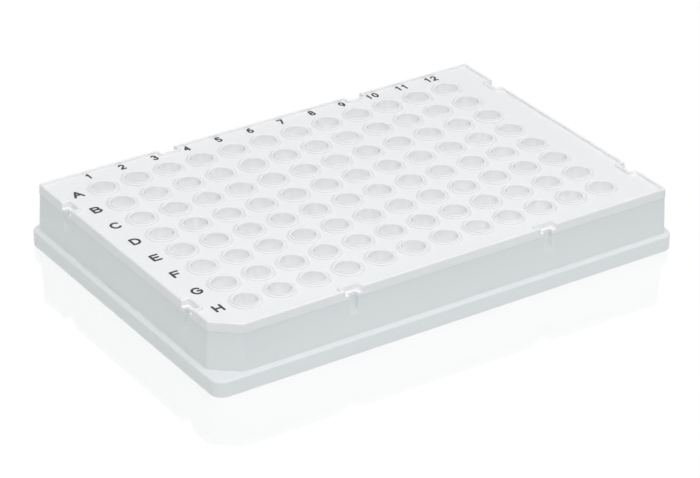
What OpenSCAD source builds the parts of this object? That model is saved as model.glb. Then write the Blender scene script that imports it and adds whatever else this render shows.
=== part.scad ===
// Fully skirted plate of 96 conical wells, moulded in one piece, with printed row and column marks.
// Origin: centre of the base outline, on the plane that the plate stands on. +Z is up,
// +X runs along a row towards the last column, and +Y runs along a column towards row A.

/* [Footprint] */
// Number of columns
columns = 12; // [8:1:12]
// Number of rows
rows = 8; // [6:1:8]
// Distance between neighbouring wells
pitch = 9; // [8.8:0.05:9.6]
// Distance from the first column's well centres to the base's nearest edge
column_edge = 14.38; // [13.8:0.02:16]
// Distance from row A's well centres to the base's nearest edge
row_edge = 11.24; // [10.8:0.02:13]
// Radius of the base flange's upright corners
base_corner_r = 3.18; // [2:0.02:5]
// Height from the base plane to the well rims
plate_h = 15.9; // [15.2:0.1:20]

/* [Base flange] */
// Height of the flange's ledge above the base plane
flange_h = 4; // [3:0.1:6]
// Width of the ledge between the flange's face and the foot of the skirt
ledge_w = 1.55; // [1.3:0.01:2.4]
// Radius on the flange's top edge
flange_edge_r = 0.45; // [0.2:0.05:0.8]

/* [Skirt] */
// Thickness of the moulded walls
wall = 1.1; // [0.8:0.05:1.5]
// How far the skirt leans inwards from the ledge to the deck
skirt_lean = 0.45; // [0.1:0.05:0.8]
// Radius of the skirt's upright corners
skirt_corner_r = 1; // [0.4:0.1:1.6]
// Length of the cut corner at the last row's first well, along the rows
key_l = 6.2; // [3:0.1:7]
// Width of that cut corner, along the columns
key_w = 5.1; // [3:0.1:7]

/* [Deck] */
// Thickness of the deck between the wells
deck_t = 1.2; // [0.9:0.05:1.6]
// Height of the band round the deck's edge, below the deck
band_h = 1.75; // [1:0.05:2.2]
// How far that band stands out from the skirt
band_step = 0.15; // [0.05:0.05:0.3]
// How far the band leans inwards from its foot to its bevel
band_lean = 0.15; // [0.05:0.05:0.3]
// Bevel on the band's top edge
deck_bevel = 0.25; // [0.1:0.05:0.5]
// Width of the lip round the deck and its notches, level with the wells' rims
lip_w = 0.9; // [0.7:0.05:1.4]

/* [Wells] */
// Bore of a well below its rim
mouth_d = 5.5; // [5:0.05:5.7]
// Bevel inside the rim
mouth_bevel = 0.2; // [0.05:0.05:0.3]
// Outer diameter of a rim's flat top
rim_d = 6.7; // [6.4:0.05:7.2]
// Height of the step from a rim's top down to its collar's shoulder
rim_step = 0.22; // [0.1:0.02:0.3]
// Fall of the shoulder, from the step out to the collar's edge
shoulder_drop = 0.13; // [0.05:0.01:0.25]
// Diameter of a collar's upright wall
collar_d = 7.7; // [7.4:0.05:8.2]
// Height of the rims above the deck
rim_h = 0.6; // [0.3:0.05:1]
// Depth of the nearly straight upper barrel
barrel_depth = 4.5; // [3:0.1:6]
// How much the barrel narrows over that depth, on the diameter
barrel_taper = 0.2; // [0:0.05:0.4]
// Depth of a well from its rim to the inside of its tip
well_depth = 14.4; // [12:0.1:14.4]
// Inner diameter of the rounded tip
tip_d = 2.5; // [2:0.1:3]
// Wall of the conical tube
tube_wall = 0.4; // [0.3:0.05:0.6]

/* [Edge notches] */
// Width of a notch along the edge
notch_w = 4.2; // [3:0.1:5]
// Depth of a notch into the deck
notch_d = 2; // [1.2:0.1:2.2]
// Height of a notch's shelf below the deck's top
notch_h = 0.9; // [0.6:0.1:1.5]
// Width of the slot that runs down from a notch
slot_w = 2.3; // [1.6:0.1:3]
// Depth of that slot into the skirt
slot_d = 1.2; // [0.8:0.1:1.6]
// Height of the slot's foot below the deck's top
slot_h = 5.4; // [4:0.1:7]
// Columns between a notch on a long side and the nearer end
notch_columns = 3; // [1:1:4]
// Rows between a notch on a short side and the nearer end
notch_rows = 1; // [1:1:2]

/* [Printed marks] */
// Height of the row letters
letter_h = 3; // [2:0.1:3.4]
// Height of the column numbers
digit_h = 2.5; // [2:0.1:2.6]
// Width of a stroke, as a share of its mark's height
stroke_share = 0.2; // [0.12:0.01:0.22]
// Thickness of the ink
ink_t = 0.03; // [0.02:0.01:0.06]
// Distance from the first column's well centres to the middle of the row letters
letter_offset = 6.8; // [6.4:0.1:8]
// How far the row letters sit towards row A from the middle of their row
letter_rise = 0.4; // [0:0.1:1]
// Clear width between the column numbers and the lip
digit_margin = 0.25; // [0.2:0.05:0.8]

/* [Hidden] */

natural_white = "#e9edee";
ink_black = "#1a1a1c";

curve_fn = 48;                        // true curves
corner_fn = 24;                       // facets round a skirt corner
past = 1;                             // how far a cut runs past the face it opens

base_l = (columns - 1) * pitch + 2 * column_edge;
base_w = (rows - 1) * pitch + 2 * row_edge;
deck_z = plate_h - rim_h;             // top of the deck
band_z = deck_z - band_h;             // foot of the deck's edge band
ceiling_z = deck_z - deck_t;          // underside of the deck
foot_l = base_l - 2 * ledge_w;        // skirt at the ledge
foot_w = base_w - 2 * ledge_w;
top_l = foot_l - 2 * skirt_lean;      // skirt under the band
top_w = foot_w - 2 * skirt_lean;
deck_l = top_l + 2 * band_step;
deck_w = top_w + 2 * band_step;

barrel_d = mouth_d - barrel_taper;    // bore at the barrel's foot
tip_z = well_depth - tip_d / 2;       // depth of the centre of the tip's round
notch_x = (columns / 2 - notch_columns) * pitch;
notch_y = (rows / 2 - notch_rows) * pitch;

// Middle of a well, counted from column 1 and row A
function well_x(column) = (column - (columns + 1) / 2) * pitch;
function well_y(row) = ((rows + 1) / 2 - row) * pitch;

// ---- Outlines ----

// Points of a corner's round, about its own centre, from angle a to a + 90
function corner_arc(x, y, r, a) =
    [for (i = [0 : corner_fn / 4])
        let (t = a + i * 360 / corner_fn)
        [x + r * cos(t), y + r * sin(t)]];

// One leg of the key corner's cut, for an outline set in evenly on every side
function key_leg(leg, other, inset) = leg - inset * (1 - (norm([leg, other]) - leg) / other);

// Skirt outline: three rounded corners, and the key corner at -X -Y cut off straight
module skirt_outline(l, w, inset = 0) {
    x = l / 2 - inset;
    y = w / 2 - inset;
    r = max(skirt_corner_r - inset, 0.1);
    polygon(concat(
        corner_arc(x - r, y - r, r, 0),
        corner_arc(r - x, y - r, r, 90),
        [[-x, key_leg(key_w, key_l, inset) - y], [key_leg(key_l, key_w, inset) - x, -y]],
        corner_arc(x - r, r - y, r, 270)));
}

module rounded_outline(l, w, r) {
    square([l - 2 * r, w], center = true);
    square([l, w - 2 * r], center = true);
    for (x = [-1, 1], y = [-1, 1])
        translate([x * (l / 2 - r), y * (w / 2 - r)]) circle(r = r, $fn = curve_fn);
}

// ---- Outer shell ----

// Slab with upright corners of radius r and its top edge rounded by f
module soft_slab(l, w, r, h, f) {
    linear_extrude(h - f) rounded_outline(l, w, r);
    linear_extrude(h) rounded_outline(l - 2 * f, w - 2 * f, r - f);
    translate([0, 0, h - f]) {
        for (y = [-1, 1]) translate([0, y * (w / 2 - f), 0]) rotate([0, 90, 0])
            cylinder(r = f, h = l - 2 * r, center = true, $fn = curve_fn);
        for (x = [-1, 1]) translate([x * (l / 2 - f), 0, 0]) rotate([90, 0, 0])
            cylinder(r = f, h = w - 2 * r, center = true, $fn = curve_fn);
        for (x = [-1, 1], y = [-1, 1]) translate([x * (l / 2 - r), y * (w / 2 - r), 0])
            rotate_extrude($fn = curve_fn) translate([r - f, 0]) circle(r = f, $fn = curve_fn);
    }
}

// Straight-sided block between two skirt outlines, lower one first
module leaning_block(z0, z1, l0, w0, l1, w1, inset) {
    skin = 0.01;
    hull() {
        translate([0, 0, z0]) linear_extrude(skin) skirt_outline(l0, w0, inset);
        translate([0, 0, z1 - skin]) linear_extrude(skin) skirt_outline(l1, w1, inset);
    }
}

// Block of the deck and its band, up to the top of the lip
module deck_band() {
    skin = 0.01;
    hull() {
        translate([0, 0, band_z]) linear_extrude(skin)
            skirt_outline(deck_l, deck_w);
        translate([0, 0, plate_h - deck_bevel - skin]) linear_extrude(skin)
            skirt_outline(deck_l, deck_w, band_lean);
        translate([0, 0, plate_h - skin]) linear_extrude(skin)
            skirt_outline(deck_l, deck_w, band_lean + deck_bevel);
    }
}

// Room over the deck, inside the lip
module deck_room() {
    translate([0, 0, deck_z]) linear_extrude(rim_h + past) difference() {
        skirt_outline(deck_l, deck_w, lip_w);
        at_notches() translate([-notch_w / 2 - lip_w, -notch_d - lip_w])
            square([notch_w + 2 * lip_w, notch_d + 2 * lip_w]);
    }
}

// Hollow under the deck: it follows the skirt and steps out into the flange
module hollow() {
    translate([0, 0, -past]) linear_extrude(flange_h - wall + past)
        rounded_outline(base_l - 2 * wall, base_w - 2 * wall, base_corner_r - wall);
    leaning_block(flange_h - wall - past, ceiling_z, foot_l, foot_w, top_l, top_w, wall);
}

module shell() {
    difference() {
        union() {
            soft_slab(base_l, base_w, base_corner_r, flange_h, flange_edge_r);
            leaning_block(flange_h - wall, band_z + deck_bevel, foot_l, foot_w, top_l, top_w, 0);
            deck_band();
        }
        hollow();
        deck_room();
    }
}

// ---- Notches ----

// Puts its child at every notch, with +Y pointing out of the plate and the deck's edge at y = 0
module at_notches() {
    for (s = [-1, 1]) {
        for (turn = [0, 180]) rotate([0, 0, turn]) translate([s * notch_x, deck_w / 2, 0]) children();
        for (turn = [90, 270]) rotate([0, 0, turn]) translate([s * notch_y, deck_l / 2, 0]) children();
    }
}

// A notch is cut down to its shelf, and its slot runs on down the skirt
module notch_cut() {
    translate([-notch_w / 2, -notch_d, deck_z - notch_h])
        cube([notch_w, notch_d + past, notch_h + rim_h + past]);
    translate([-slot_w / 2, -slot_d, deck_z - slot_h])
        cube([slot_w, slot_d + past, slot_h]);
}

// Inner wall round a cut of width w and depth d that ends h below the deck's top
module backing(w, d, h) {
    back = d + wall;
    translate([-w / 2 - wall, -back, deck_z - h - wall])
        cube([w + 2 * wall, back - band_step - wall / 2, h + wall - deck_t / 2]);
}

module notch_backing() {
    backing(notch_w, notch_d, notch_h);
    backing(slot_w, slot_d, slot_h);
}

// ---- Wells ----

// Half section of a cone with a rounded end, of half-widths r0 and r1 at depths z0 and z1
module round_ended_cone(r0, z0, r1, z1) {
    polygon([[0, -z0], [r0, -z0], [r1, -z1], [0, -z1]]);
    intersection() {
        translate([0, -z1]) circle(r = r1, $fn = curve_fn);
        translate([0, -z1 - r1]) square([r1, 2 * r1]);
    }
}

// Two-step collar and tube, as a full body of revolution hanging from the rim's plane
module well_body() {
    rotate_extrude($fn = curve_fn) {
        polygon([[0, 0], [rim_d / 2, 0], [rim_d / 2, -rim_step], [collar_d / 2, -rim_step - shoulder_drop],
                 [collar_d / 2, -rim_h - deck_t / 2], [mouth_d / 2 + tube_wall, -rim_h - deck_t / 2],
                 [barrel_d / 2 + tube_wall, -barrel_depth], [0, -barrel_depth]]);
        round_ended_cone(barrel_d / 2 + tube_wall, barrel_depth, tip_d / 2 + tube_wall, tip_z);
    }
}

module well_bore() {
    rotate_extrude($fn = curve_fn) {
        polygon([[0, past], [mouth_d / 2 + mouth_bevel, past], [mouth_d / 2 + mouth_bevel, 0],
                 [mouth_d / 2, -mouth_bevel], [barrel_d / 2, -barrel_depth], [0, -barrel_depth]]);
        round_ended_cone(barrel_d / 2, barrel_depth, tip_d / 2, tip_z);
    }
}

module at_wells() {
    for (column = [1 : columns], row = [1 : rows])
        translate([well_x(column), well_y(row), plate_h]) children();
}

module plate() {
    color(natural_white) difference() {
        union() {
            shell();
            at_notches() notch_backing();
            at_wells() well_body();
        }
        at_notches() notch_cut();
        at_wells() well_bore();
    }
}

// ---- Printed marks ----

// Strokes of each mark, as points on a field 1 wide and 1 high, centred on zero
function bow(x, y, rx, ry, a, b) =
    let (steps = ceil(abs(b - a) / 20))
    [for (i = [0 : steps]) let (t = a + (b - a) * i / steps) [x + rx * cos(t), y + ry * sin(t)]];

function letter_strokes(i) = [
    [[[-0.5, -0.5], [0, 0.5], [0.5, -0.5]], [[-0.31, -0.14], [0.31, -0.14]]],
    [concat([[0, 0.02], [-0.42, 0.02], [-0.42, 0.5]], bow(0, 0.26, 0.36, 0.24, 90, -90)),
     concat([[-0.42, 0.02], [-0.42, -0.5]], bow(0.04, -0.24, 0.4, 0.26, -90, 90))],
    [bow(0, 0, 0.5, 0.5, 45, 315)],
    [concat([[-0.42, 0.5], [-0.42, -0.5]], bow(-0.06, 0, 0.5, 0.5, -90, 90), [[-0.42, 0.5]])],
    [[[0.4, 0.5], [-0.4, 0.5], [-0.4, -0.5], [0.4, -0.5]], [[-0.4, 0.02], [0.3, 0.02]]],
    [[[0.4, 0.5], [-0.4, 0.5], [-0.4, -0.5]], [[-0.4, 0.02], [0.26, 0.02]]],
    [concat(bow(0, 0, 0.5, 0.5, 45, 330), [[0.45, -0.02], [0.08, -0.02]])],
    [[[-0.4, 0.5], [-0.4, -0.5]], [[0.4, 0.5], [0.4, -0.5]], [[-0.4, 0], [0.4, 0]]]
][i];

function digit_strokes(i) = [
    [concat(bow(0, 0, 0.4, 0.5, 0, 360))],
    [[[-0.26, 0.28], [0.05, 0.5], [0.05, -0.5]]],
    [concat(bow(0, 0.2, 0.38, 0.3, 160, -30), [[-0.4, -0.5], [0.4, -0.5]])],
    [concat(bow(-0.02, 0.26, 0.34, 0.24, 150, -90)), bow(-0.02, -0.24, 0.4, 0.26, 90, -150)],
    [[[0.4, -0.2], [-0.42, -0.2], [0.2, 0.5], [0.2, -0.5]]],
    [concat([[0.34, 0.5], [-0.3, 0.5], [-0.36, 0.04]], bow(-0.02, -0.18, 0.4, 0.32, 120, -150))],
    [concat([[0.26, 0.5]], bow(0.24, -0.1, 0.64, 0.6, 110, 180), bow(0, -0.18, 0.4, 0.32, 180, -180))],
    [[[-0.4, 0.5], [0.4, 0.5], [-0.1, -0.5]]],
    [bow(0, 0.26, 0.34, 0.24, 0, 360), bow(0, -0.24, 0.4, 0.26, 0, 360)],
    [concat(bow(0, 0.18, 0.4, 0.32, 0, 360), bow(-0.24, 0.1, 0.64, 0.6, 0, -70))]
][i];

// One stroke: a band t wide along its points, round at its ends and bends
module stroke(points, w, h, t) {
    at = [for (p = points) [p[0] * w, p[1] * h]];
    for (p = at) translate(p) circle(d = t, $fn = 12);
    for (i = [0 : len(at) - 2])
        let (d = at[i + 1] - at[i])
            translate(at[i]) rotate(atan2(d[1], d[0]))
                translate([0, -t / 2]) square([norm(d), t]);
}

// A mark whose strokes fill a field w wide and h high
module mark(strokes, w, h) {
    t = stroke_share * h;
    translate([0, 0, deck_z]) linear_extrude(ink_t)
        for (points = strokes) stroke(points, w - t, h - t, t);
}

module printed_marks() {
    letter_w = 0.95 * letter_h;
    digit_w = 0.76 * digit_h;
    color(ink_black) {
        for (row = [1 : rows])
            translate([well_x(1) - letter_offset, well_y(row) + letter_rise, 0])
                mark(letter_strokes(row - 1), letter_w, letter_h);
        for (column = [1 : columns])
            translate([well_x(column), deck_w / 2 - lip_w - digit_margin - digit_h / 2, 0])
                if (column < 10)
                    mark(digit_strokes(column), digit_w, digit_h);
                else {
                    translate([-digit_w / 2, 0, 0]) mark(digit_strokes(1), digit_w, digit_h);
                    translate([digit_w / 2, 0, 0]) mark(digit_strokes(column - 10), digit_w, digit_h);
                }
    }
}

plate();
printed_marks();
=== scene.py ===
"""A fully skirted plate of 96 conical wells, moulded in natural polypropylene, with printed marks.

Sizes are in millimetres where they are named, and in metres in every mesh.
+X runs along a row towards column 12, +Y along a column towards row A, and +Z is up.
"""

import math

import bmesh
import bpy
from mathutils import Matrix, Vector


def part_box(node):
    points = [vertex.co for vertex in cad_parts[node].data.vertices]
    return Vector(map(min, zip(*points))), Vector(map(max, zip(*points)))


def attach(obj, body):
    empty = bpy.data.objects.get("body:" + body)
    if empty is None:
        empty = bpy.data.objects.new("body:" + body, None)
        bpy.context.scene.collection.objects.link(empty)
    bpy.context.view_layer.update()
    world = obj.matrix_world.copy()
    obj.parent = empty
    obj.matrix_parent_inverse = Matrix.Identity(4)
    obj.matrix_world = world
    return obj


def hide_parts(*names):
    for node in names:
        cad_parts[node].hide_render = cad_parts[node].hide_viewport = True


MM = 0.001

# Well grid
COLUMNS = 12
ROWS = 8
PITCH = 9.0

# Base flange
BASE_CORNER_R = 3.18
FLANGE_H = 4.0
LEDGE_W = 1.55
FLANGE_EDGE_R = 0.45

# Skirt
WALL = 1.1
SKIRT_LEAN = 0.45
SKIRT_CORNER_R = 1.0
KEY_L = 6.2
KEY_W = 5.1

# Deck
DECK_T = 1.2
BAND_H = 1.75
BAND_STEP = 0.15
BAND_LEAN = 0.15
DECK_BEVEL = 0.25
LIP_W = 0.9

# Wells
MOUTH_D = 5.5
MOUTH_BEVEL = 0.2
RIM_D = 6.7
RIM_STEP = 0.22
SHOULDER_DROP = 0.13
COLLAR_D = 7.7
RIM_H = 0.6
BARREL_DEPTH = 4.5
BARREL_TAPER = 0.2
WELL_DEPTH = 14.4
TIP_D = 2.5
TUBE_WALL = 0.4

# Edge notches
NOTCH_W = 4.2
NOTCH_D = 2.0
NOTCH_H = 0.9
SLOT_W = 2.3
SLOT_D = 1.2
SLOT_H = 5.4
SLOT_RUN_OUT = 1.0
NOTCH_COLUMNS = 3
NOTCH_ROWS = 1

# Softness of moulded edges
EDGE_R = 0.12
LIP_FOOT_R = 0.15
BAND_TOP_R = 0.3
BAND_FOOT_R = 0.06
SKIRT_TOP_R = 0.1
SKIRT_FOOT_R = 0.2
FLANGE_FOOT_R = 0.35
COLLAR_EDGE_R = 0.06
SHOULDER_R = 0.04
RIM_INNER_R = 0.07
MOUTH_R = 0.1
TUBE_ROOT_R = 0.3
LEAST_EDGE_R = 0.02
LEAST_CORNER_R = 0.1

# Distances under which points of a mesh are one
WELD = 0.002
SLIVER = 0.0005

# Light of the studio, a little cooler than neutral
COOL_WHITE = (0.974, 0.983, 1.0, 1.0)

# ---------------------------------------------------------------- frame

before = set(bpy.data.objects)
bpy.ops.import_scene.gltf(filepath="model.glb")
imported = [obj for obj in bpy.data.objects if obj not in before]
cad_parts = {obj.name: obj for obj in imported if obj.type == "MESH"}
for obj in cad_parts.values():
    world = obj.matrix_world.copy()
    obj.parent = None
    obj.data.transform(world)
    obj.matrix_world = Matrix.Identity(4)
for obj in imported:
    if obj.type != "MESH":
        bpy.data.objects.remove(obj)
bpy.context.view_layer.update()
low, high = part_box("plate")
BASE_L = (high.x - low.x) / MM
BASE_W = (high.y - low.y) / MM
PLATE_H = high.z / MM

DECK_Z = PLATE_H - RIM_H
CEILING_Z = DECK_Z - DECK_T
BAND_Z = DECK_Z - BAND_H
NOTCH_Z = DECK_Z - NOTCH_H
SLOT_Z = DECK_Z - SLOT_H
FOOT_OUT = SKIRT_LEAN - BAND_STEP
DECK_HALF_L = BASE_L / 2 - LEDGE_W - FOOT_OUT
DECK_HALF_W = BASE_W / 2 - LEDGE_W - FOOT_OUT
NOTCH_X = (COLUMNS / 2 - NOTCH_COLUMNS) * PITCH
NOTCH_Y = (ROWS / 2 - NOTCH_ROWS) * PITCH


# ---------------------------------------------------------------- helpers


def linear(code):
    """A linear RGBA colour from an sRGB hex code such as '#EDEFEF'."""
    colour = []
    for i in (1, 3, 5):
        v = int(code[i : i + 2], 16) / 255
        colour.append(v / 12.92 if v <= 0.04045 else ((v + 0.055) / 1.055) ** 2.4)
    return (*colour, 1.0)


def add(tree, kind, inputs=None, **settings):
    """Adds a node. Each input is a value, or an output socket that is linked to it."""
    made = tree.nodes.new(kind)
    for name, value in settings.items():
        setattr(made, name, value)
    for key, value in (inputs or {}).items():
        if isinstance(value, bpy.types.NodeSocket):
            tree.links.new(value, made.inputs[key])
        else:
            made.inputs[key].default_value = value
    return made


def new_material(name):
    """A new material and its node tree, which is empty."""
    material = bpy.data.materials.new(name)
    material.use_nodes = True
    tree = material.node_tree
    tree.nodes.clear()
    return material, tree


def new_object(name, mesh):
    """An object of a mesh, in the scene."""
    made = bpy.data.objects.new(name, mesh)
    bpy.context.scene.collection.objects.link(made)
    return made


def rounded(corners, closed):
    """Lists of points, one for each corner (x, y, radius, steps) of a line, rounded."""
    groups = []
    count = len(corners)
    for i, (x, y, radius, steps) in enumerate(corners):
        here = Vector((x, y))
        if not closed and i in (0, count - 1):
            groups.append([here])
            continue
        before = (here - Vector(corners[i - 1][:2])).normalized()
        after = (Vector(corners[(i + 1) % count][:2]) - here).normalized()
        turn = math.atan2(before.cross(after), before.dot(after))
        side = math.copysign(1, turn)
        start = here - before * radius * math.tan(abs(turn) / 2)
        spoke = side * radius * Vector((before.y, -before.x))
        centre = start - spoke
        turns = [Matrix.Rotation(turn * k / steps, 2) for k in range(steps + 1)]
        groups.append([centre + part @ spoke for part in turns])
    return groups


# ---------------------------------------------------------------- outlines of the shell


def key_leg(leg, other, inset):
    """A leg of the key corner's cut, for an outline set in evenly on every side."""
    return leg - inset * (1 - (math.hypot(leg, other) - leg) / other)


def outline(out, key=True, corner_r=SKIRT_CORNER_R, half_w=NOTCH_W / 2, depth=NOTCH_D, share=1.0):
    """A closed line round the plate, moved out from the deck's edge.

    Its notches are whole at a share of 1, and they are drawn out flat at 0.
    """
    x, y = DECK_HALF_L + out, DECK_HALF_W + out
    radius = max(corner_r + out, LEAST_CORNER_R)
    half_w = half_w - out
    convex, concave = max(EDGE_R + out, LEAST_EDGE_R), max(EDGE_R - out, LEAST_EDGE_R)
    # each side: its direction, the way out, how far out it lies, its notches, the corner at its end
    sides = [
        (Vector((1, 0)), Vector((0, -1)), y, NOTCH_X, (x, -y)),
        (Vector((0, 1)), Vector((1, 0)), x, NOTCH_Y, (x, y)),
        (Vector((-1, 0)), Vector((0, 1)), y, NOTCH_X, (-x, y)),
        (Vector((0, -1)), Vector((-1, 0)), x, NOTCH_Y, None),
    ]
    corners, pulled = [], []
    for along, outward, edge, notch_at, corner in sides:
        for middle in (-notch_at, notch_at):
            for t, o, r in (
                (middle - half_w, edge, convex),
                (middle - half_w, edge - depth, concave),
                (middle + half_w, edge - depth, concave),
                (middle + half_w, edge, convex),
            ):
                p = along * t + outward * o
                corners.append((p.x, p.y, r, 3))
                pulled.append((outward, edge))
        if corner:
            corners.append((*corner, radius, 8))
            pulled.append(None)
    # the key's two roundings and the flange's one have as many points, so that their loops match
    if key:
        corners.append((-x, key_leg(KEY_W, KEY_L, -out) - y, radius, 4))
        corners.append((key_leg(KEY_L, KEY_W, -out) - x, -y, radius, 4))
        pulled += [None, None]
    else:
        corners.append((-x, -y, radius, 9))
        pulled.append(None)
    points = []
    for group, pull in zip(rounded(corners, closed=True), pulled):
        for p in group:
            if pull:
                outward, edge = pull
                p = p + outward * (edge - p.dot(outward)) * (1 - share)
            points.append(p)
    return points


def skirt_out(z):
    """How far the skirt's face lies outside the deck's edge at a height."""
    return FOOT_OUT - SKIRT_LEAN * (z - FLANGE_H) / (BAND_Z - FLANGE_H)


def shell_loops():
    """Loops of (points, height) from the deck, down the outside, and up the inside to the ceiling."""
    loops = []

    def follow(profile, **options):
        for group in rounded(profile, closed=False):
            for p in group:
                loops.append((outline(p.x, **options), p.y))

    # lip round the deck, and its band down to the notches' shelves
    deck_lap = 0.6
    shelf_out = -BAND_LEAN * (NOTCH_Z - BAND_Z) / (PLATE_H - DECK_BEVEL - BAND_Z)
    follow(
        [
            (-LIP_W - deck_lap, DECK_Z, 0, 1),
            (-LIP_W, DECK_Z, LIP_FOOT_R, 2),
            (-LIP_W, PLATE_H, EDGE_R, 2),
            (-BAND_LEAN - DECK_BEVEL, PLATE_H, BAND_TOP_R, 3),
            (-BAND_LEAN, PLATE_H - DECK_BEVEL, BAND_TOP_R, 3),
            (shelf_out, NOTCH_Z, 0, 1),
        ]
    )
    # from the shelves down the slots, which run out into the skirt's face
    slot = dict(half_w=SLOT_W / 2, depth=SLOT_D)
    follow(
        [
            (shelf_out, NOTCH_Z, 0, 1),
            (0, BAND_Z, BAND_FOOT_R, 2),
            (skirt_out(BAND_Z), BAND_Z - BAND_STEP / 2, SKIRT_TOP_R, 2),
            (skirt_out(SLOT_Z + SLOT_RUN_OUT), SLOT_Z + SLOT_RUN_OUT, 0, 1),
        ],
        **slot,
    )
    loops.append((outline(skirt_out(SLOT_Z), share=0, **slot), SLOT_Z))
    # foot of the skirt, rounded into the ledge
    foot_start, ledge_lap = SLOT_Z - 1, 0.4
    follow(
        [
            (skirt_out(foot_start), foot_start, 0, 1),
            (FOOT_OUT, FLANGE_H, SKIRT_FOOT_R, 3),
            (FOOT_OUT + ledge_lap, FLANGE_H, 0, 1),
        ],
        share=0,
    )
    # flange, from its top edge to the underside and up its inner face
    edge = FOOT_OUT + LEDGE_W
    inner = edge - WALL
    flange = dict(key=False, corner_r=BASE_CORNER_R - edge, share=0)
    follow(
        [
            (edge - 2 * FLANGE_EDGE_R, FLANGE_H, 0, 1),
            (edge, FLANGE_H, FLANGE_EDGE_R, 5),
            (edge, 0, FLANGE_FOOT_R, 3),
            (inner, 0, EDGE_R, 2),
            (inner, FLANGE_H - WALL, 0, 1),
        ],
        **flange,
    )
    # inner face of the skirt, with the walls that back the slots and the notches
    foot_z, shelf_z = SLOT_Z - WALL, NOTCH_Z - WALL
    for z, half_w, depth, share in (
        (FLANGE_H - WALL, SLOT_W / 2, SLOT_D, 0),
        (foot_z, SLOT_W / 2, SLOT_D, 0),
        (foot_z, SLOT_W / 2, SLOT_D, 1),
        (shelf_z, SLOT_W / 2, SLOT_D, 1),
        (shelf_z, NOTCH_W / 2, NOTCH_D, 1),
        (CEILING_Z, NOTCH_W / 2, NOTCH_D, 1),
    ):
        points = outline(skirt_out(z) - WALL, share=share, half_w=half_w, depth=depth)
        loops.append((points, z))
    return loops


# ---------------------------------------------------------------- one well


def ring(mesh, size, z, count, square=False):
    """A level loop of points about the well's axis: a circle's radius is given, or half a square."""
    verts = []
    for k in range(count):
        a = math.tau * k / count + math.pi / 4
        reach = size / max(abs(math.cos(a)), abs(math.sin(a))) if square else size
        verts.append(mesh.verts.new((reach * math.cos(a) * MM, reach * math.sin(a) * MM, z * MM)))
    return verts


def bridge(mesh, first, second):
    """Faces between two loops of as many points."""
    count = len(first)
    for k in range(count):
        n = (k + 1) % count
        mesh.faces.new((first[k], first[n], second[n], second[k]))


def turned(mesh, start, profile, z0, count):
    """Rings from a first loop on, along a profile of (radius, height), closed at its pole."""
    last = start
    for radius, z in profile:
        if radius == 0:
            pole = mesh.verts.new((0, 0, (z0 + z) * MM))
            for k in range(count):
                mesh.faces.new((last[k], last[(k + 1) % count], pole))
            return
        now = ring(mesh, radius, z0 + z, count)
        bridge(mesh, last, now)
        last = now


def tip(radius, z, steps):
    """A well's round end, down to its pole."""
    arc = []
    for k in range(steps):
        a = math.pi / 2 * k / steps
        arc.append((radius * math.cos(a), z - radius * math.sin(a)))
    return arc + [(0, z - radius)]


def profile_line(corners):
    """Points (radius, height) along a profile with rounded corners."""
    return [tuple(p) for group in rounded(corners, closed=False) for p in group]


def well_cell():
    """One well with its square of deck: collar, bore and rounded tip above, and the tube below."""
    mesh = bmesh.new()
    # multiples of 4, so that a square loop has a point on each corner
    sides_above, sides_below = 36, 20
    deck_lap, ceiling_lap = 0.35, 0.6
    barrel_r = (MOUTH_D - BARREL_TAPER) / 2
    tip_z = TIP_D / 2 - WELL_DEPTH
    above = [
        (COLLAR_D / 2 + deck_lap, -RIM_H, 0, 1),
        (COLLAR_D / 2, -RIM_H, COLLAR_EDGE_R, 1),
        (COLLAR_D / 2, -RIM_STEP - SHOULDER_DROP, COLLAR_EDGE_R, 2),
        (RIM_D / 2, -RIM_STEP, SHOULDER_R, 1),
        (RIM_D / 2, 0, COLLAR_EDGE_R, 2),
        (MOUTH_D / 2 + MOUTH_BEVEL, 0, RIM_INNER_R, 1),
        (MOUTH_D / 2, -MOUTH_BEVEL, MOUTH_R, 1),
        (MOUTH_D / 2 - BARREL_TAPER / 4, -BARREL_DEPTH / 2, 0, 1),
    ]
    profile = profile_line(above) + [(barrel_r, -BARREL_DEPTH)] + tip(TIP_D / 2, tip_z, 3)
    square = ring(mesh, PITCH / 2, DECK_Z, sides_above, square=True)
    turned(mesh, square, profile, PLATE_H, sides_above)

    drop = CEILING_Z - PLATE_H
    below = [
        (MOUTH_D / 2 + TUBE_WALL + ceiling_lap, drop, 0, 1),
        (MOUTH_D / 2 + TUBE_WALL, drop, TUBE_ROOT_R, 2),
        (barrel_r + TUBE_WALL, -BARREL_DEPTH, 0, 1),
    ]
    profile = profile_line(below) + tip(TIP_D / 2 + TUBE_WALL, tip_z, 3)
    square = ring(mesh, PITCH / 2, CEILING_Z, sides_below, square=True)
    turned(mesh, square, profile, PLATE_H, sides_below)

    data = bpy.data.meshes.new("well_cell")
    mesh.to_mesh(data)
    mesh.free()
    return new_object("well_cell", data)


# ---------------------------------------------------------------- the grid of wells


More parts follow.
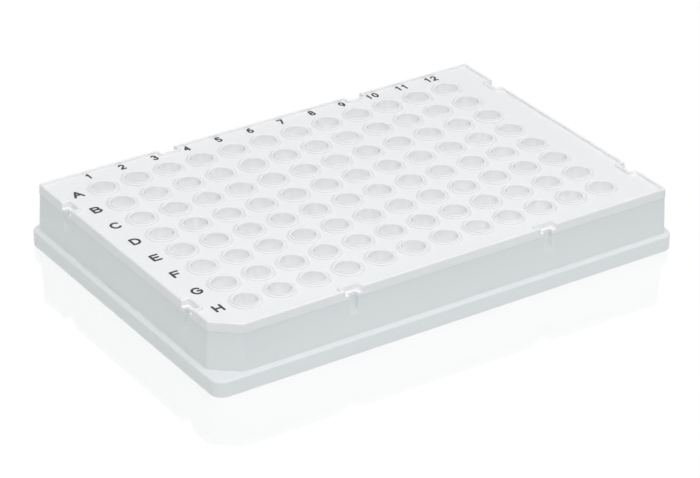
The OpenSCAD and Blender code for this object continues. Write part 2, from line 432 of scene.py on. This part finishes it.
def well_grid_tree():
    """Geometry Nodes that set one well on every point of a grid and merge the squares of deck."""
    tree = bpy.data.node_groups.new("well_grid", "GeometryNodeTree")
    for name, kind in (
        ("Well", "NodeSocketObject"),
        ("Columns", "NodeSocketInt"),
        ("Rows", "NodeSocketInt"),
        ("Pitch", "NodeSocketFloat"),
        ("Material", "NodeSocketMaterial"),
    ):
        tree.interface.new_socket(name, in_out="INPUT", socket_type=kind)
    tree.interface.new_socket("Geometry", in_out="OUTPUT", socket_type="NodeSocketGeometry")
    given = add(tree, "NodeGroupInput").outputs

    def span(count):
        less = add(tree, "ShaderNodeMath", {0: count, 1: 1.0}, operation="SUBTRACT").outputs[0]
        return add(tree, "ShaderNodeMath", {0: less, 1: given["Pitch"]}, operation="MULTIPLY").outputs[0]

    grid = add(
        tree,
        "GeometryNodeMeshGrid",
        {
            "Size X": span(given["Columns"]),
            "Size Y": span(given["Rows"]),
            "Vertices X": given["Columns"],
            "Vertices Y": given["Rows"],
        },
    )
    well = add(tree, "GeometryNodeObjectInfo", {"Object": given["Well"]})
    spread = add(
        tree,
        "GeometryNodeInstanceOnPoints",
        {"Points": grid.outputs["Mesh"], "Instance": well.outputs["Geometry"]},
    )
    real = add(tree, "GeometryNodeRealizeInstances", {"Geometry": spread.outputs[0]})
    merged = add(
        tree,
        "GeometryNodeMergeByDistance",
        {"Geometry": real.outputs[0], "Distance": WELD * MM},
    )
    dressed = add(
        tree,
        "GeometryNodeSetMaterial",
        {"Geometry": merged.outputs[0], "Material": given["Material"]},
    )
    add(tree, "NodeGroupOutput", {"Geometry": dressed.outputs[0]})
    return tree


def set_inputs(modifier, **values):
    """Sets a Geometry Nodes modifier's inputs by their sockets' identifiers."""
    for item in modifier.node_group.interface.items_tree:
        if item.item_type == "SOCKET" and item.in_out == "INPUT" and item.name in values:
            modifier[item.identifier] = values[item.name]


def made_plain(obj):
    """The evaluated mesh of an object, as a plain mesh."""
    bpy.context.view_layer.update()
    graph = bpy.context.evaluated_depsgraph_get()
    return bpy.data.meshes.new_from_object(obj.evaluated_get(graph), depsgraph=graph)


def well_grid(material):
    """The mesh of all the wells."""
    cell = well_cell()
    holder = new_object("well_grid", bpy.data.meshes.new("well_grid"))
    modifier = holder.modifiers.new("Well grid", "NODES")
    modifier.node_group = well_grid_tree()
    set_inputs(modifier, Well=cell, Columns=COLUMNS, Rows=ROWS, Pitch=PITCH * MM, Material=material)
    mesh = made_plain(holder)
    for used in (holder, cell):
        bpy.data.objects.remove(used)
    return mesh


# ---------------------------------------------------------------- the whole moulding


def open_edges(mesh, z):
    """Edges with only one face, or none, that lie at a height."""

    def level(edge):
        return all(abs(v.co.z - z * MM) < WELD * MM / 2 for v in edge.verts)

    return [e for e in mesh.edges if len(e.link_faces) < 2 and level(e)]


def moulding(material):
    """The plate as one closed shell: the grid of wells joined to the border, skirt and flange."""
    mesh = bmesh.new()
    mesh.from_mesh(well_grid(material))
    last = None
    for points, z in shell_loops():
        now = [mesh.verts.new((p.x * MM, p.y * MM, z * MM)) for p in points]
        if last:
            bridge(mesh, last, now)
        last = now
    bmesh.ops.remove_doubles(mesh, verts=mesh.verts, dist=WELD * MM)
    # fills the deck and the ceiling between the grid of wells and the shell's two open ends
    for z in (DECK_Z, CEILING_Z):
        bmesh.ops.triangle_fill(mesh, edges=open_edges(mesh, z), use_beauty=True)
    bmesh.ops.dissolve_degenerate(mesh, edges=mesh.edges, dist=SLIVER * MM)
    bmesh.ops.recalc_face_normals(mesh, faces=mesh.faces)
    data = bpy.data.meshes.new("moulded_plate")
    mesh.to_mesh(data)
    mesh.free()
    data.materials.clear()
    data.materials.append(material)
    data.shade_smooth()
    data.set_sharp_from_angle(angle=math.radians(50))
    made = new_object("moulded_plate", data)
    weighted = made.modifiers.new("Weighted normals", "WEIGHTED_NORMAL")
    weighted.keep_sharp = True
    weighted.weight = 80
    plain = made_plain(made)
    made.modifiers.clear()
    made.data = plain
    return made


# ---------------------------------------------------------------- materials


def beyond(tree, place, half_l, half_w):
    """How far a point lies outside a rectangle about the Z axis, and below zero inside it."""
    half = (half_l, half_w, 0)
    side = add(tree, "ShaderNodeVectorMath", {0: place}, operation="ABSOLUTE").outputs[0]
    past = add(tree, "ShaderNodeVectorMath", {0: side, 1: half}, operation="SUBTRACT").outputs[0]
    way = add(tree, "ShaderNodeSeparateXYZ", {0: past}).outputs
    return add(tree, "ShaderNodeMath", {0: way["X"], 1: way["Y"]}, operation="MAXIMUM").outputs[0]


def from_axis(tree, place):
    """Distance of a point from the axis of the nearest well."""
    cell, middle = PITCH * MM, PITCH / 2 * MM
    for operation, values in (
        ("MULTIPLY", {1: (1, 1, 0)}),
        ("WRAP", {1: (cell, cell, cell), 2: (0, 0, 0)}),
        ("SUBTRACT", {1: (middle, middle, 0)}),
        ("LENGTH", {}),
    ):
        step = add(tree, "ShaderNodeVectorMath", {0: place, **values}, operation=operation).outputs
        place = step[0]
    return step["Value"]


def flow_tint(tree, place):
    """Slow, faint changes of tint, about 25 mm across, that the melt's flow leaves."""
    flow = add(tree, "ShaderNodeTexNoise", {"Vector": place, "Scale": 1 / (25 * MM), "Detail": 2.0})
    tint = add(tree, "ShaderNodeValToRGB", {"Fac": flow.outputs["Fac"]})
    tint.color_ramp.elements[0].position = 0.3
    tint.color_ramp.elements[0].color = linear("#FEFEFE")
    tint.color_ramp.elements[1].position = 0.7
    tint.color_ramp.elements[1].color = linear("#FFFFFF")
    return tint.outputs["Color"]


def thin_wall_painted_shade(tree, height, past):
    """Painted shade: 1 on the skirt and flange, below the deck's band and outside the wells."""
    blur = 0.05
    span = {"From Min": (BAND_Z + blur) * MM, "From Max": (BAND_Z - blur) * MM}
    low = add(tree, "ShaderNodeMapRange", {"Value": height, **span}).outputs["Result"]
    outside = add(tree, "ShaderNodeMath", {0: past, 1: 0.0}, operation="GREATER_THAN").outputs[0]
    return add(tree, "ShaderNodeMath", {0: low, 1: outside}, operation="MULTIPLY").outputs[0]


def collar_painted_shade(tree, place, height, past):
    """Painted shade: 1 on the upright faces round the collars, and 0 on level faces and in the bores."""
    normal = add(tree, "ShaderNodeNewGeometry").outputs["Normal"]
    upward = add(tree, "ShaderNodeSeparateXYZ", {0: normal}).outputs["Z"]
    # how far a face's normal points up, from where its painted shade starts to where it is full
    starts, full = 0.9, 0.5
    steep = add(tree, "ShaderNodeMapRange", {"Value": upward, "From Min": starts, "From Max": full})
    on_rim_r, above_deck = MOUTH_D / 2 + MOUTH_BEVEL + 0.1, DECK_Z + 0.01
    mask = steep.outputs["Result"]
    for value, operation, limit in (
        (from_axis(tree, place), "GREATER_THAN", on_rim_r * MM),
        (height, "GREATER_THAN", above_deck * MM),
        (past, "LESS_THAN", 0.0),
    ):
        test = add(tree, "ShaderNodeMath", {0: value, 1: limit}, operation=operation).outputs[0]
        mask = add(tree, "ShaderNodeMath", {0: mask, 1: test}, operation="MULTIPLY").outputs[0]
    return mask


def natural_polypropylene():
    """Natural polypropylene, injection moulded: milky, softly glossy over a fine satin texture, with
    painted shade on its thin walls and round its collars.
    """
    material, tree = new_material("natural_polypropylene")
    place = add(tree, "ShaderNodeTexCoord").outputs["Object"]
    height = add(tree, "ShaderNodeSeparateXYZ", {0: place}).outputs["Z"]
    wells_half_l = ((COLUMNS - 1) * PITCH + COLLAR_D) / 2
    wells_half_w = ((ROWS - 1) * PITCH + COLLAR_D) / 2
    past = beyond(tree, place, wells_half_l * MM, wells_half_w * MM)
    # painted shade, not a colour of the plastic: the thin walls are greyed for the light that passes
    # through them, and the upright faces round the collars are darkened for the shade that falls there
    shade = flow_tint(tree, place)
    for mask, painted_grey in (
        (thin_wall_painted_shade(tree, height, past), "#F3F5F5"),
        (collar_painted_shade(tree, place, height, past), "#EEEDEF"),
    ):
        # a Mix node takes its two colours at its sockets 6 and 7, and gives one at 2
        colours = {0: mask, 6: shade, 7: linear(painted_grey)}
        shade = add(tree, "ShaderNodeMix", colours, data_type="RGBA").outputs[2]
    # the mould's satin texture is finer, and is drawn at 0.35 mm so that it shows
    grain = add(tree, "ShaderNodeTexNoise", {"Vector": place, "Scale": 1 / (0.35 * MM), "Detail": 3.0})
    rise = grain.outputs["Fac"]
    gloss = add(
        tree,
        "ShaderNodeMapRange",
        {"Value": rise, "From Min": 0.3, "From Max": 0.7, "To Min": 0.2, "To Max": 0.28},
    )
    bump = add(tree, "ShaderNodeBump", {"Height": rise, "Strength": 0.15, "Distance": 0.02 * MM})
    body = add(
        tree,
        "ShaderNodeBsdfPrincipled",
        {
            "Base Color": shade,
            "Roughness": gloss.outputs["Result"],
            "IOR": 1.49,
            "Subsurface Weight": 0.3,
            "Subsurface Radius": (1.0, 1.0, 1.0),
            "Subsurface Scale": 0.35 * MM,
            "Normal": bump.outputs["Normal"],
        },
    )
    add(tree, "ShaderNodeOutputMaterial", {"Surface": body.outputs[0]})
    return material


def black_ink():
    """Black pad-printing ink, a thin satin layer with slightly uneven cover."""
    material, tree = new_material("black_printing_ink")
    place = add(tree, "ShaderNodeTexCoord").outputs["Object"]
    # the pad leaves finer specks, and they are drawn at 0.3 mm so that they show
    cover = add(tree, "ShaderNodeTexNoise", {"Vector": place, "Scale": 1 / (0.3 * MM), "Detail": 2.0})
    tint = add(tree, "ShaderNodeValToRGB", {"Fac": cover.outputs["Fac"]})
    tint.color_ramp.elements[0].color = linear("#0C0C0E")
    tint.color_ramp.elements[1].color = linear("#18181B")
    settings = {"Base Color": tint.outputs["Color"], "Roughness": 0.5}
    body = add(tree, "ShaderNodeBsdfPrincipled", settings)
    add(tree, "ShaderNodeOutputMaterial", {"Surface": body.outputs[0]})
    return material


plate = moulding(natural_polypropylene())
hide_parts("plate")
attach(plate, "root")

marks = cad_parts["printed_marks"]
marks.data.materials.clear()
marks.data.materials.append(black_ink())


# ---------------------------------------------------------------- floor, light and camera


def told_apart(tree, bounced, seen):
    """One shader for light that bounces, and one for what is seen, in a mirror image too."""
    path = add(tree, "ShaderNodeLightPath").outputs
    direct = path["Is Camera Ray"]
    for ray in ("Is Glossy Ray", "Is Transmission Ray"):
        direct = add(tree, "ShaderNodeMath", {0: direct, 1: path[ray]}, operation="MAXIMUM").outputs[0]
    return add(tree, "ShaderNodeMixShader", {0: direct, 1: bounced, 2: seen}).outputs[0]


def studio_floor():
    """A white acrylic sweep: it shows white, with a faint mirror image and shadow of the plate."""
    material, tree = new_material("white_acrylic_floor")
    # it throws most light up beside the plate, and less from the sweep further out
    place = add(tree, "ShaderNodeTexCoord").outputs["Object"]
    gap = beyond(tree, place, BASE_L / 2 * MM, BASE_W / 2 * MM)
    near, far = 10 * MM, 40 * MM
    away = add(tree, "ShaderNodeMapRange", {"Value": gap, "From Min": near, "From Max": far})
    fade = add(tree, "ShaderNodeValToRGB", {"Fac": away.outputs["Result"]})
    fade.color_ramp.elements[0].color = linear("#F0F5F4")
    fade.color_ramp.elements[1].color = linear("#D0D9D7")
    bounce = add(tree, "ShaderNodeBsdfDiffuse", {"Color": fade.outputs["Color"]})
    # shares of light: what it scatters and mirrors, and its own glow, which makes it show white
    scattered, mirrored, own = 0.12, 0.19, 0.715
    shade = add(tree, "ShaderNodeBsdfDiffuse", {"Color": (scattered, scattered, scattered, 1)})
    glow = add(tree, "ShaderNodeEmission", {"Color": linear("#FFFFFF"), "Strength": own})
    mirror = add(
        tree,
        "ShaderNodeBsdfGlossy",
        {"Color": (mirrored, mirrored, mirrored, 1), "Roughness": 0.03},
    )
    lit = add(tree, "ShaderNodeAddShader", {0: shade.outputs[0], 1: glow.outputs[0]})
    seen = add(tree, "ShaderNodeAddShader", {0: lit.outputs[0], 1: mirror.outputs[0]})
    surface = told_apart(tree, bounce.outputs[0], seen.outputs[0])
    add(tree, "ShaderNodeOutputMaterial", {"Surface": surface})

    # a little under the plate, so that no two faces lie in one plane
    half, clearance = 3.0, 0.02 * MM
    mesh = bmesh.new()
    bmesh.ops.create_grid(mesh, x_segments=1, y_segments=1, size=half)
    bmesh.ops.translate(mesh, vec=(0, 0, -clearance), verts=mesh.verts)
    data = bpy.data.meshes.new("studio_floor")
    mesh.to_mesh(data)
    mesh.free()
    data.materials.append(material)
    floor = new_object("studio_floor", data)


def studio_world(level):
    """A room that lights the plate at an even level, behind a backdrop that shows white."""
    world = bpy.data.worlds.new("studio")
    bpy.context.scene.world = world
    world.use_nodes = True
    tree = world.node_tree
    tree.nodes.clear()
    room = add(tree, "ShaderNodeBackground", {"Color": COOL_WHITE, "Strength": level})
    backdrop = add(tree, "ShaderNodeBackground", {"Color": linear("#FFFFFF"), "Strength": 1.0})
    surface = told_apart(tree, room.outputs[0], backdrop.outputs[0])
    add(tree, "ShaderNodeOutputWorld", {"Surface": surface})


def soft_box(name, place, aim, size, power):
    """A round soft box: its place, the point that it faces, its diameter and its power."""
    data = bpy.data.lights.new(name, "AREA")
    data.shape = "DISK"
    data.size = size
    data.energy = power
    data.color = COOL_WHITE[:3]
    lamp = bpy.data.objects.new(name, data)
    bpy.context.scene.collection.objects.link(lamp)
    lamp.location = place
    lamp.rotation_euler = (Vector(aim) - Vector(place)).to_track_quat("-Z", "Y").to_euler()


def studio_camera():
    """A long lens above the left front corner, turned and tilted as the plate is usually shown."""
    azimuth, elevation, roll = (math.radians(a) for a in (-34.112, 28.741, 0.77))
    distance, aside, above = 0.70757, -0.68 * MM, -12.53 * MM
    back = Vector(
        (
            math.sin(azimuth) * math.cos(elevation),
            -math.cos(azimuth) * math.cos(elevation),
            math.sin(elevation),
        )
    )
    level = Vector((math.cos(azimuth), math.sin(azimuth), 0))
    steep = back.cross(level)
    right = level * math.cos(roll) + steep * math.sin(roll)
    up = steep * math.cos(roll) - level * math.sin(roll)
    aim = Vector((0, 0, PLATE_H * MM))
    place = aim + back * distance + right * aside + up * above
    data = bpy.data.cameras.new("camera")
    data.lens = 154.42
    data.sensor_width = 36
    camera = bpy.data.objects.new("camera", data)
    bpy.context.scene.collection.objects.link(camera)
    facing = Matrix((right, up, back)).transposed().to_4x4()
    camera.matrix_world = Matrix.Translation(place) @ facing
    bpy.context.scene.camera = camera


studio_floor()
studio_world(0.13)
soft_box("overhead", (0.2, -0.3, 0.9), (0.2, -0.3, 0), 2.4, 12.3)
soft_box("key", (-0.3, -0.45, 0.8), (0, 0, 0), 0.3, 1.72)
soft_box("front fill", (0.25, -0.9, 0.3), (0, 0, 0), 0.5, 0.42)
soft_box("left fill", (-0.9, 0.0, 0.5), (0, 0, 0), 0.5, 0.76)
studio_camera()
bpy.context.scene.view_settings.view_transform = "Standard"
# light crosses the milky walls many times before it leaves a well
bpy.context.scene.cycles.max_bounces = 32
bpy.context.scene.cycles.diffuse_bounces = 32
